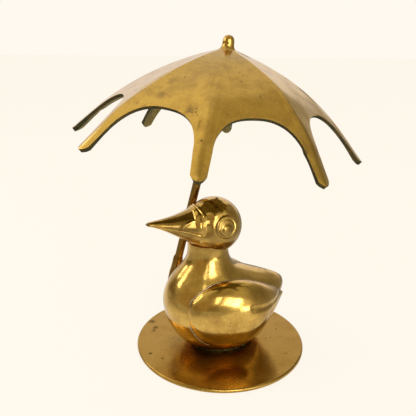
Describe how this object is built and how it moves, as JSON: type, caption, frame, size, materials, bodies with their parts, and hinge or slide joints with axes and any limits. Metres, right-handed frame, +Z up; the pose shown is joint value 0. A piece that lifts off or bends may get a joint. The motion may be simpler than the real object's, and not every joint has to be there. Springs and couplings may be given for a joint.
{
  "type": "brass duck figurine with umbrella",
  "caption": "Standing brass duck on a round sheet plate, holding an open scalloped umbrella over its head on a leaning, slightly bent rod.",
  "frame": {"origin": "centre of the round base plate's underside, which rests on the table", "axes": "+Z up; the duck looks along -Y and its left side is +X"},
  "size_m": [0.1571, 0.1568, 0.1806],
  "materials": {
    "plate_brass": "worn polish, brown-stained",
    "duck_brass": "bright hand polish",
    "canopy_brass": "polished casting with pits, dark green-black edges",
    "shaft_brass": "drawn rod, dull polish",
    "solder_brass": "dark, tarnished",
    "screw_steel": "plain steel"
  },
  "bodies": {
    "root": {"base_plate": "plate_brass", "base_screws": "screw_steel", "foot": "solder_brass", "duck_body": "duck_brass", "neck_stud": "screw_steel", "duck_head": "duck_brass", "left_wing": "duck_brass", "right_wing": "duck_brass", "shaft_holder": "shaft_brass", "umbrella_shaft": "shaft_brass", "canopy_collar": "canopy_brass", "umbrella_canopy": "canopy_brass", "finial": "canopy_brass"}
  },
  "joints": []
}
